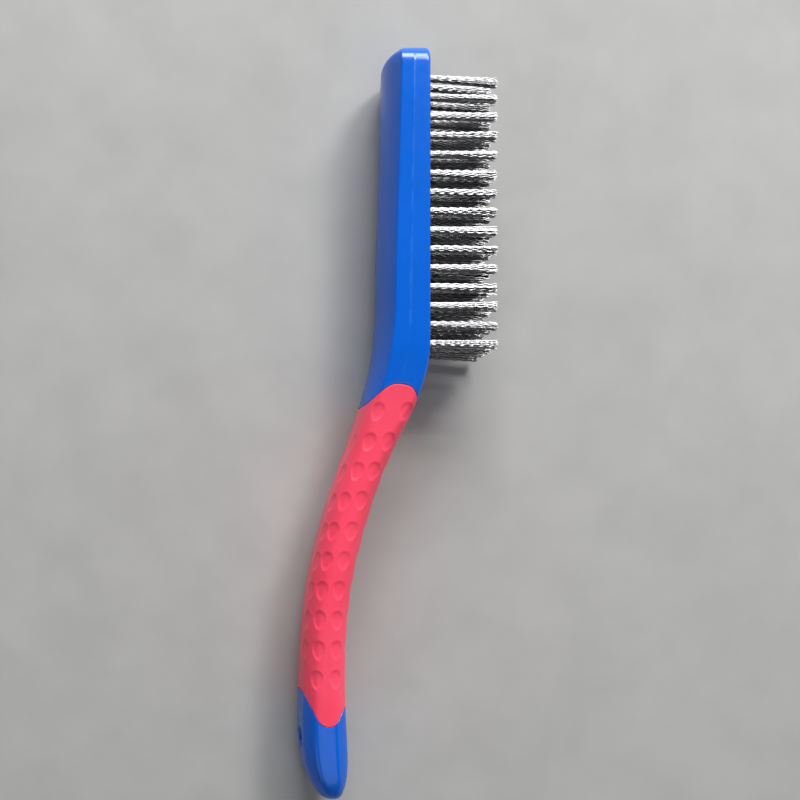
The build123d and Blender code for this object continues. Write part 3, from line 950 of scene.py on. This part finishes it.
# ---------------------------------------------------------------------------
# Stage, light and camera
# ---------------------------------------------------------------------------
def floor_plane():
    z = CAD_LO.z
    s = 6.0
    me = bpy.data.meshes.new("floor")
    me.from_pydata([(-s, -s, z), (s, -s, z), (s, s, z), (-s, s, z)], [], [(0, 1, 2, 3)])
    ob = bpy.data.objects.new("floor", me)
    bpy.context.scene.collection.objects.link(ob)
    m, nt, bsdf, coord = new_material("pale_floor")
    base = ramp(nt, noise(nt, coord, 40.0, 4.0), [(0.3, (0.40, 0.40, 0.395)), (0.7, (0.44, 0.44, 0.435))])
    nt.links.new(base, bsdf.inputs["Base Color"])
    bsdf.inputs["Roughness"].default_value = 0.8
    bsdf.inputs["Specular IOR Level"].default_value = 0.2
    # far away the floor fades into the backdrop, so that no hard horizon is seen
    span = nt.nodes.new("ShaderNodeVectorMath")
    span.operation = "LENGTH"
    nt.links.new(coord.outputs["Object"], span.inputs[0])
    ray = nt.nodes.new("ShaderNodeLightPath")
    fade = nt.nodes.new("ShaderNodeMath")
    fade.operation = "MULTIPLY"
    nt.links.new(remap(nt, span.outputs["Value"], 0.65, 2.4, 0.0, 1.0), fade.inputs[0])
    nt.links.new(ray.outputs["Is Camera Ray"], fade.inputs[1])
    clear = nt.nodes.new("ShaderNodeBsdfTransparent")
    blend = nt.nodes.new("ShaderNodeMixShader")
    nt.links.new(fade.outputs["Value"], blend.inputs[0])
    nt.links.new(bsdf.outputs["BSDF"], blend.inputs[1])
    nt.links.new(clear.outputs["BSDF"], blend.inputs[2])
    output = next(n for n in nt.nodes if n.type == "OUTPUT_MATERIAL")
    nt.links.new(blend.outputs["Shader"], output.inputs["Surface"])
    me.materials.append(m)
    return ob


floor_plane()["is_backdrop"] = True


def area(name, place, aim, size_x, size_y, power, colour=(1, 1, 1)):
    d = bpy.data.lights.new(name, "AREA")
    d.shape = "RECTANGLE"
    d.size, d.size_y = size_x, size_y
    d.energy = power
    d.color = colour
    ob = bpy.data.objects.new(name, d)
    bpy.context.scene.collection.objects.link(ob)
    ob.location = place
    ob.rotation_euler = (Vector(aim) - Vector(place)).to_track_quat("-Z", "Y").to_euler()
    ob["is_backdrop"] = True
    return ob


head_top = Vector((FACE_X * MM, HEAD_END * MM, CAD_HI.z))
area("key_window", head_top + Vector((0.44, 0.66, 0.61)) * 1.5, head_top, 0.42, 0.42, 17.0, (1.0, 0.99, 0.97))
area("top_soft", head_top + Vector((0.02, 0.88, 0.47)) * 1.6, head_top, 0.95, 0.60, 32.0)
area("low_left", (-1.10, -0.80, 0.85), (0.0, 0.05, 0.0), 0.9, 0.9, 2.0)
area("front_low", (1.70, -0.25, 0.42), (0.05, 0.18, 0.0), 0.9, 0.6, 1.0)
area("overhead", (0.30, -0.85, 2.00), (0.0, 0.1, 0.0), 1.5, 1.5, 7.0)

# the room: dark overhead, lighter towards the horizon
world = bpy.data.worlds.new("studio")
bpy.context.scene.world = world
world.use_nodes = True
wt = world.node_tree
bg = wt.nodes["Background"]
w_coord = wt.nodes.new("ShaderNodeTexCoord")
w_split = wt.nodes.new("ShaderNodeSeparateXYZ")
wt.links.new(w_coord.outputs["Generated"], w_split.inputs["Vector"])
level = remap(wt, w_split.outputs["Z"], 0.05, 0.75, 0.22, 0.05)
bg.inputs["Color"].default_value = (0.95, 0.97, 1.0, 1.0)
# the backdrop itself is pale wherever the camera looks straight at it
w_ray = wt.nodes.new("ShaderNodeLightPath")
w_seen = wt.nodes.new("ShaderNodeMath")
w_seen.operation = "MAXIMUM"
w_pale = remap(wt, w_ray.outputs["Is Camera Ray"], 0.0, 1.0, 0.0, 0.36)
wt.links.new(level, w_seen.inputs[0])
wt.links.new(w_pale, w_seen.inputs[1])
wt.links.new(w_seen.outputs["Value"], bg.inputs["Strength"])

cam_data = bpy.data.cameras.new("camera")
cam = bpy.data.objects.new("camera", cam_data)
bpy.context.scene.collection.objects.link(cam)
bpy.context.scene.camera = cam
CAM = (-0.0656, 0.0695, 0.370)
cam.location = CAM
cam.rotation_euler = (0.0, 0.0, 0.0)
cam_data.sensor_width = 36.0
cam_data.lens = 43.38
cam_data.clip_start, cam_data.clip_end = 0.01, 20.0


def shift_driver(prop, value):
    """The lens shift that belongs to this viewpoint only: from any other place it is zero."""
    drv = cam_data.driver_add(prop).driver
    drv.type = "SCRIPTED"
    for name, axis in (("x", "LOC_X"), ("y", "LOC_Y"), ("z", "LOC_Z")):
        v = drv.variables.new()
        v.name = name
        v.type = "TRANSFORMS"
        v.targets[0].id = cam
        v.targets[0].transform_type = axis
        v.targets[0].transform_space = "WORLD_SPACE"
    drv.expression = (
        f"{value} if fabs(x - ({CAM[0]})) + fabs(y - ({CAM[1]})) + fabs(z - ({CAM[2]})) < 0.001 else 0.0"
    )


shift_driver("shift_x", 0.31125)
shift_driver("shift_y", 0.195)

scene = bpy.context.scene
scene.view_settings.view_transform = "Standard"
scene.view_settings.look = "None"
scene.view_settings.exposure = 0.0
scene.view_settings.gamma = 1.0

lo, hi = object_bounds()
